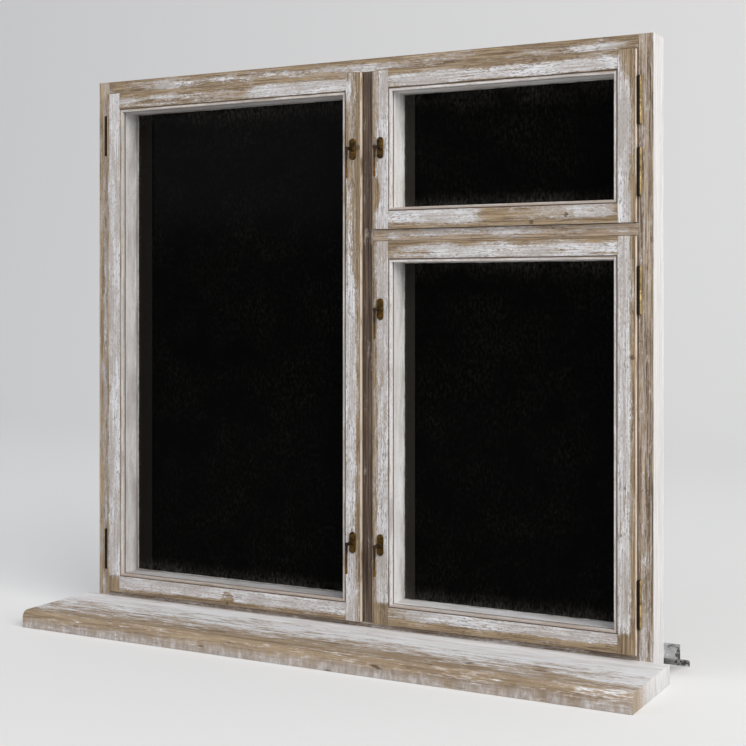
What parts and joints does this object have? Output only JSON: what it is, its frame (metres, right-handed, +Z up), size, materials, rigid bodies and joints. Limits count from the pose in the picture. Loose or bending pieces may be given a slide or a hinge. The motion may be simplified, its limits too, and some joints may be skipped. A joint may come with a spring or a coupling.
{
  "type": "window",
  "caption": "Old timber casement window with a tall sash beside two stacked sashes, lever handles, barrel hinges, a deep window board and a folded outer sill.",
  "frame": {"origin": "middle of the frame's foot, in the plane that the frame and board stand on", "axes": "+X to the right as seen from the room, +Y from the room to the outside, +Z up"},
  "size_m": [1.52, 0.3894, 1.34],
  "materials": {
    "frame_wood": "bare grain with worn whitewash",
    "sash_wood": "peeling white paint over brown wood",
    "bead_wood": "worn cream paint",
    "board_wood": "worn whitewash over knotty wood",
    "pane_glass": "dusty dark glass",
    "hinge_brass": "tarnished brass",
    "handle_brass": "tarnished brass",
    "sill_metal": "weathered light grey sheet"
  },
  "bodies": {
    "window": {"frame_left_jamb": "frame_wood", "frame_right_jamb": "frame_wood", "frame_head": "frame_wood", "frame_foot_rail": "frame_wood", "mullion": "frame_wood", "transom": "frame_wood", "left_sash_hinge_stile": "sash_wood", "left_sash_lock_stile": "sash_wood", "left_sash_top_rail": "sash_wood", "left_sash_bottom_rail": "sash_wood", "left_side_beads": "bead_wood", "left_rail_beads": "bead_wood", "left_glass": "pane_glass", "left_hinges": "hinge_brass", "left_rosettes": "handle_brass", "upper_sash_hinge_stile": "sash_wood", "upper_sash_lock_stile": "sash_wood", "upper_sash_top_rail": "sash_wood", "upper_sash_bottom_rail": "sash_wood", "upper_side_beads": "bead_wood", "upper_rail_beads": "bead_wood", "upper_glass": "pane_glass", "upper_hinges": "hinge_brass", "upper_rosettes": "handle_brass", "lower_sash_hinge_stile": "sash_wood", "lower_sash_lock_stile": "sash_wood", "lower_sash_top_rail": "sash_wood", "lower_sash_bottom_rail": "sash_wood", "lower_side_beads": "bead_wood", "lower_rail_beads": "bead_wood", "lower_glass": "pane_glass", "lower_hinges": "hinge_brass", "lower_rosettes": "handle_brass", "window_board": "board_wood", "exterior_sill": "sill_metal"},
    "left_top_handle": {"left_top_lever": "handle_brass"},
    "left_bottom_handle": {"left_bottom_lever": "handle_brass"},
    "upper_middle_handle": {"upper_middle_lever": "handle_brass"},
    "lower_top_handle": {"lower_top_lever": "handle_brass"},
    "lower_bottom_handle": {"lower_bottom_lever": "handle_brass"}
  },
  "joints": [
    {"name": "left_top_handle_turn", "type": "hinge", "parent": "window", "child": "left_top_handle", "pos_m": [0.021, -0.047, 1.133], "axis": [0, 1, 0], "range_deg": [0, 90]},
    {"name": "left_bottom_handle_turn", "type": "hinge", "parent": "window", "child": "left_bottom_handle", "pos_m": [0.021, -0.047, 0.232], "axis": [0, 1, 0], "range_deg": [0, 90]},
    {"name": "upper_middle_handle_turn", "type": "hinge", "parent": "window", "child": "upper_middle_handle", "pos_m": [0.093, -0.047, 1.133], "axis": [0, -1, 0], "range_deg": [0, 90]},
    {"name": "lower_top_handle_turn", "type": "hinge", "parent": "window", "child": "lower_top_handle", "pos_m": [0.093, -0.047, 0.767], "axis": [0, -1, 0], "range_deg": [0, 90]},
    {"name": "lower_bottom_handle_turn", "type": "hinge", "parent": "window", "child": "lower_bottom_handle", "pos_m": [0.093, -0.047, 0.232], "axis": [0, -1, 0], "range_deg": [0, 90]}
  ]
}
